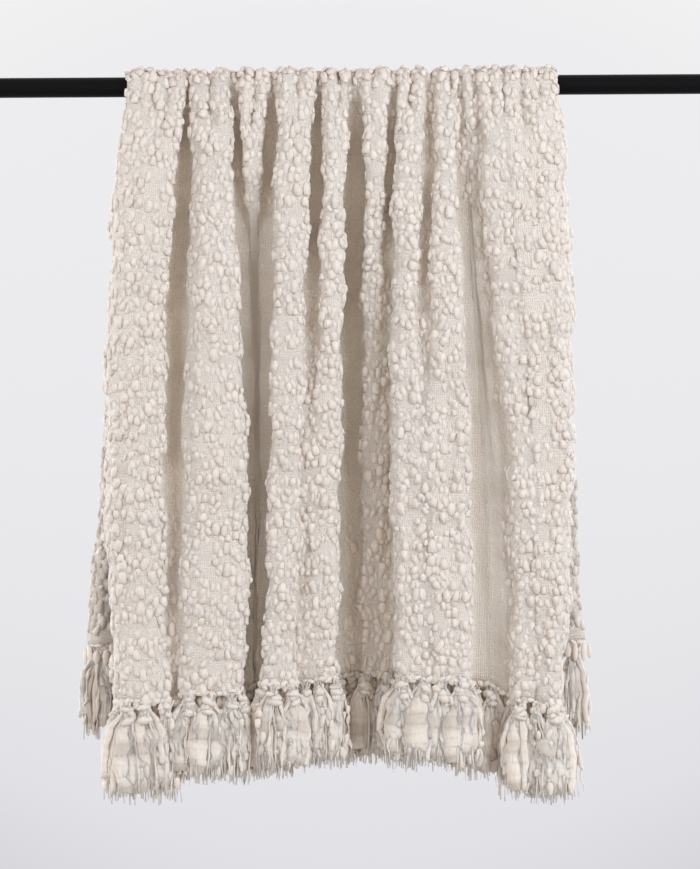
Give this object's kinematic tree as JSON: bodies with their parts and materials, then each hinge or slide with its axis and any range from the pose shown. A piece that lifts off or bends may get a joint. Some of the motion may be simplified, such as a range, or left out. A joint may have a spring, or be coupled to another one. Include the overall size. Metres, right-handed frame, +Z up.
{
  "type": "boucle throw blanket hanging over a round rod",
  "caption": "Cream boucle throw with a knotted fringe along both ends, gathered into upright folds and hung over a plain round black rod.",
  "frame": {"origin": "middle of the rod's axis, which is where its brackets hold it level", "axes": "+X along the rod to the viewer's right, +Z up, -Y towards the viewer, on the side of the longer half of the throw"},
  "size_m": [1, 0.141, 0.9234],
  "materials": {
    "boucle_cream": "matt slubbed wool blend, cream",
    "fringe_yarn": "matt loose yarn, cream",
    "rod_black": "satin black paint"
  },
  "bodies": {
    "root": {"rod": "rod_black", "blanket": "boucle_cream", "fringe_front": "fringe_yarn", "fringe_back": "fringe_yarn"}
  },
  "joints": []
}
